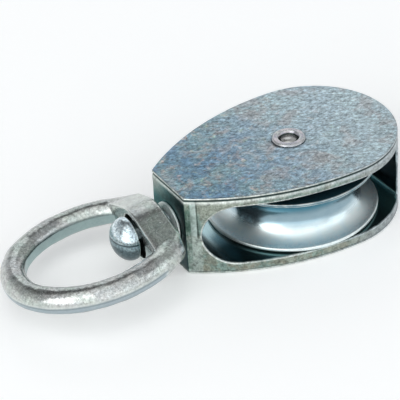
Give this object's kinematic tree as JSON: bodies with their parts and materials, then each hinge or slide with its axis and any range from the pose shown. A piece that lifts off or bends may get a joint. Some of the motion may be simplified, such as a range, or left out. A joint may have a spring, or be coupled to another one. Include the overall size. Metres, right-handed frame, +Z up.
{
  "type": "swivel pulley block",
  "caption": "Single sheave pulley block: closed cast frame with side windows, grooved sheave on a hollow rivet, and a drooping oval eye on a swivel stud.",
  "frame": {"origin": "centre of the block on the axle's axis, halfway between the outer faces of the two cheeks", "axes": "+X from the eye to the round crown of the frame, +Z up the axle from the bottom cheek to the top cheek, +Y completes the set; the rope leaves the windows along Y"},
  "size_m": [0.1226, 0.0502, 0.0264],
  "materials": {
    "frame_zinc": "blue passivated zinc plate over a cast frame, top cheek ground flat",
    "rivet_zinc": "satin zinc plate",
    "sheave_zinc": "turned, smooth zinc plate",
    "stud_zinc": "smooth zinc plate",
    "washer_zinc": "smooth zinc plate",
    "eye_zinc": "forged, fine-grained zinc plate"
  },
  "bodies": {
    "frame": {"frame": "frame_zinc", "axle_rivet": "rivet_zinc"},
    "sheave": {"sheave": "sheave_zinc"},
    "stud": {"swivel_stud": "stud_zinc", "thrust_washer": "washer_zinc", "seat_washer": "washer_zinc"},
    "eye": {"eye": "eye_zinc"}
  },
  "joints": [
    {"name": "sheave_spin", "type": "hinge", "parent": "frame", "child": "sheave", "pos_m": [0, 0, 0], "axis": [0, 0, 1], "continuous": true},
    {"name": "eye_swivel", "type": "hinge", "parent": "frame", "child": "stud", "pos_m": [-0.0468, 0, 0], "axis": [1, 0, 0], "continuous": true},
    {"name": "eye_rock", "type": "hinge", "parent": "stud", "child": "eye", "pos_m": [-0.0468, 0, 0], "axis": [0, 0.7986, 0.6018], "range_deg": [0, 14.88]}
  ]
}
